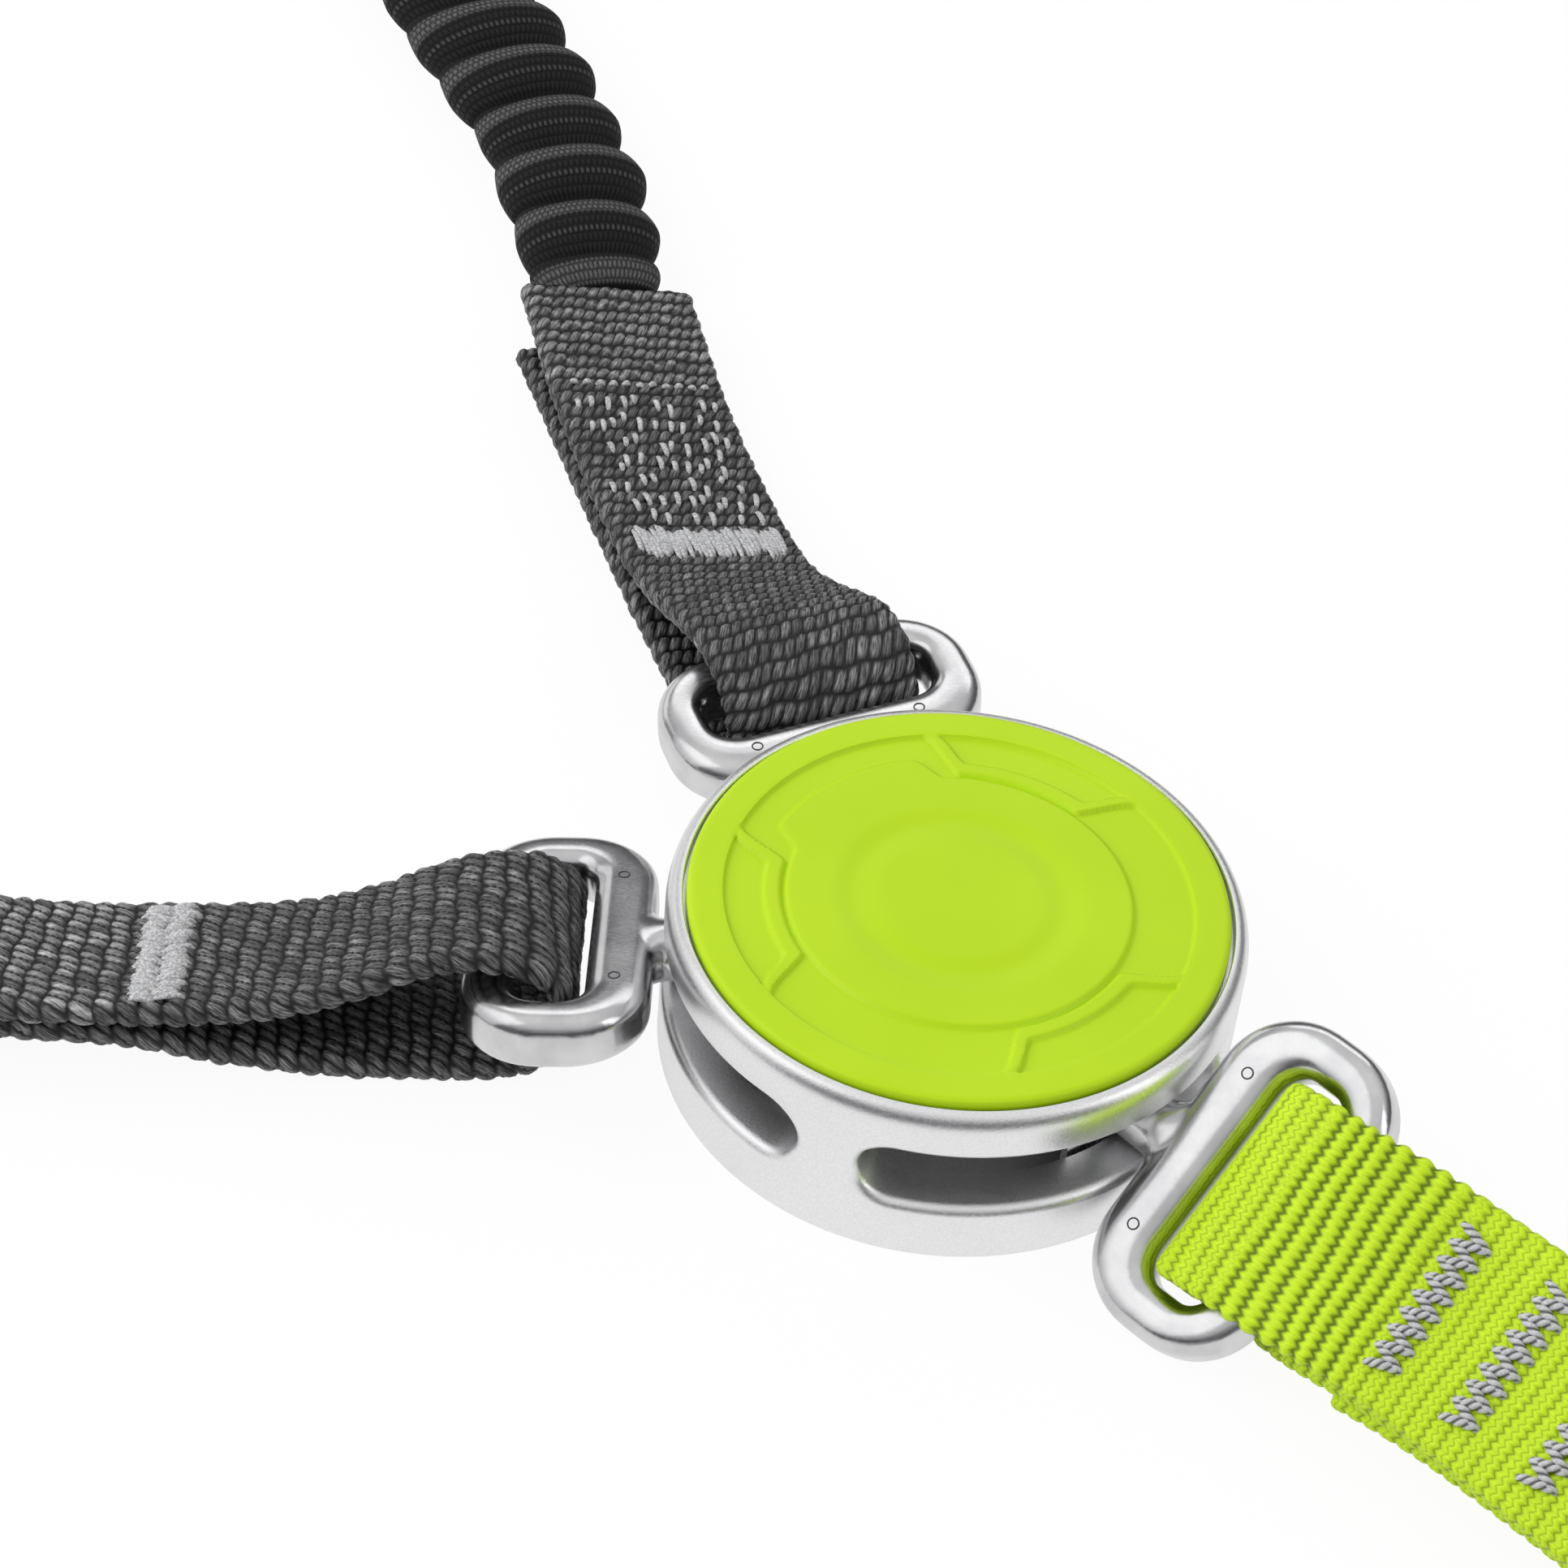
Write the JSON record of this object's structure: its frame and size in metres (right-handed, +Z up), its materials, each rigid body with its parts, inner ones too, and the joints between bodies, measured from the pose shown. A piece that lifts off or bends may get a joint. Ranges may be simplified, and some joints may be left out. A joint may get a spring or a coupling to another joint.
{
  "type": "via ferrata lanyard",
  "caption": "Via ferrata lanyard: a round swivel hub with eyes in slots joins two elastic webbing arms with locking carabiners and a strap to a pouched energy absorber.",
  "frame": {"origin": "centre of the swivel hub's flat base, on the surface that the lanyard lies on", "axes": "+Z up out of the hub's cap; +X to the right and +Y away from the viewer as the picture shows the hub"},
  "size_m": [0.4351, 0.4437, 0.0368],
  "materials": {
    "blasted_aluminium": "bead-blasted, silver",
    "forged_aluminium": "satin polished",
    "anodised_aluminium": "dark anodised, satin",
    "bright_steel": "bright",
    "dark_plastic": "matt moulded",
    "lime_plastic": "satin moulded",
    "black_webbing": "woven",
    "lime_webbing": "woven",
    "rubber": "matt",
    "pouch_cloth": "woven, closed by a zip"
  },
  "bodies": {
    "hub": {"hub_housing": "blasted_aluminium", "core_ring": "dark_plastic", "cover_plate": "bright_steel", "cover_screw": "bright_steel", "cap": "lime_plastic", "strap_run": "lime_webbing", "absorber_pouch": "pouch_cloth", "tear_webbing": "lime_webbing", "tie_in_loop": "lime_webbing", "zip_tape": "dark_plastic", "left_elastic_arm": "black_webbing", "back_elastic_arm": "black_webbing"},
    "left_slider": {"left_washer": "bright_steel"},
    "left_swivel": {"left_eye": "forged_aluminium", "left_nut": "bright_steel", "left_eye_loop": "black_webbing"},
    "back_slider": {"back_washer": "bright_steel"},
    "back_swivel": {"back_eye": "forged_aluminium", "back_nut": "bright_steel", "back_eye_loop": "black_webbing"},
    "strap_slider": {"strap_washer": "bright_steel"},
    "strap_swivel": {"strap_eye": "forged_aluminium", "strap_nut": "bright_steel", "strap_eye_loop": "lime_webbing"},
    "left_carabiner": {"left_carabiner_frame": "anodised_aluminium", "left_gate_pin": "bright_steel", "left_end_loop": "black_webbing", "left_keeper": "rubber"},
    "left_gate_body": {"left_gate": "forged_aluminium", "left_gate_plunger": "bright_steel", "left_gate_spring": "bright_steel"},
    "left_sleeve_body": {"left_lock_sleeve": "bright_steel"},
    "back_carabiner": {"back_carabiner_frame": "anodised_aluminium", "back_gate_pin": "bright_steel", "back_end_loop": "black_webbing", "back_keeper": "rubber"},
    "back_gate_body": {"back_gate": "forged_aluminium", "back_gate_plunger": "bright_steel", "back_gate_spring": "bright_steel"},
    "back_sleeve_body": {"back_lock_sleeve": "bright_steel"},
    "zip_slider_body": {"zip_slider": "bright_steel"},
    "zip_pull_body": {"zip_pull": "bright_steel"}
  },
  "joints": [
    {"name": "left_slide_round", "type": "hinge", "parent": "hub", "child": "left_slider", "pos_m": [0, 0, 0.0091], "axis": [0, 0, 1], "range_deg": [-14, 41], "deforming": ["left_elastic_arm"]},
    {"name": "left_eye_swivel", "type": "hinge", "parent": "left_slider", "child": "left_swivel", "pos_m": [-0.02288, -0.001, 0.0091], "axis": [-0.9966, -0.0435, -0.0698], "continuous": true, "deforming": ["left_elastic_arm"]},
    {"name": "back_slide_round", "type": "hinge", "parent": "hub", "child": "back_slider", "pos_m": [0, 0, 0.0091], "axis": [0, 0, 1], "range_deg": [-88, 1], "deforming": ["back_elastic_arm"]},
    {"name": "back_eye_swivel", "type": "hinge", "parent": "back_slider", "child": "back_swivel", "pos_m": [-0.00895, 0.02108, 0.0091], "axis": [-0.3907, 0.9205, 0], "continuous": true, "deforming": ["back_elastic_arm"]},
    {"name": "strap_slide_round", "type": "hinge", "parent": "hub", "child": "strap_slider", "pos_m": [0, 0, 0.0091], "axis": [0, 0, 1], "range_deg": [-45, 16], "deforming": ["strap_run"]},
    {"name": "strap_eye_swivel", "type": "hinge", "parent": "strap_slider", "child": "strap_swivel", "pos_m": [0.01715, -0.01517, 0.0091], "axis": [0.749, -0.6626, 0], "continuous": true, "deforming": ["strap_run"]},
    {"name": "left_carabiner_swing", "type": "hinge", "parent": "hub", "child": "left_carabiner", "pos_m": [-0.118, -0.121, 0.0043], "axis": [0, 0, 1], "range_deg": [-30, 0], "deforming": ["left_elastic_arm"]},
    {"name": "left_gate_swing", "type": "hinge", "parent": "left_carabiner", "child": "left_gate_body", "pos_m": [-0.038, -0.09262, 0.0055], "axis": [0, 0, 1], "range_deg": [-28, 0], "stiffness_Nm_per_rad": 0.02, "springref_deg": 20.05},
    {"name": "left_sleeve_slide", "type": "slide", "parent": "left_gate_body", "child": "left_sleeve_body", "axis": [1, 0, 0], "range_m": [0, 0.007]},
    {"name": "back_carabiner_swing", "type": "hinge", "parent": "hub", "child": "back_carabiner", "pos_m": [0.048, 0.206, 0.0043], "axis": [0, 0, 1], "range_deg": [-30, 30], "deforming": ["back_elastic_arm"]},
    {"name": "back_gate_swing", "type": "hinge", "parent": "back_carabiner", "child": "back_gate_body", "pos_m": [0.128, 0.23438, 0.0055], "axis": [0, 0, 1], "range_deg": [-28, 0], "stiffness_Nm_per_rad": 0.02, "springref_deg": 20.05},
    {"name": "back_sleeve_slide", "type": "slide", "parent": "back_gate_body", "child": "back_sleeve_body", "axis": [1, 0, 0], "range_m": [0, 0.007]},
    {"name": "zip_slide", "type": "slide", "parent": "hub", "child": "zip_slider_body", "axis": [0.749, -0.6626, 0], "range_m": [0, 0.048]},
    {"name": "zip_pull_hinge", "type": "hinge", "parent": "zip_slider_body", "child": "zip_pull_body", "pos_m": [0.09352, -0.08274, 0.0344], "axis": [-0.6626, -0.749, 0], "range_deg": [0, 150]}
  ]
}
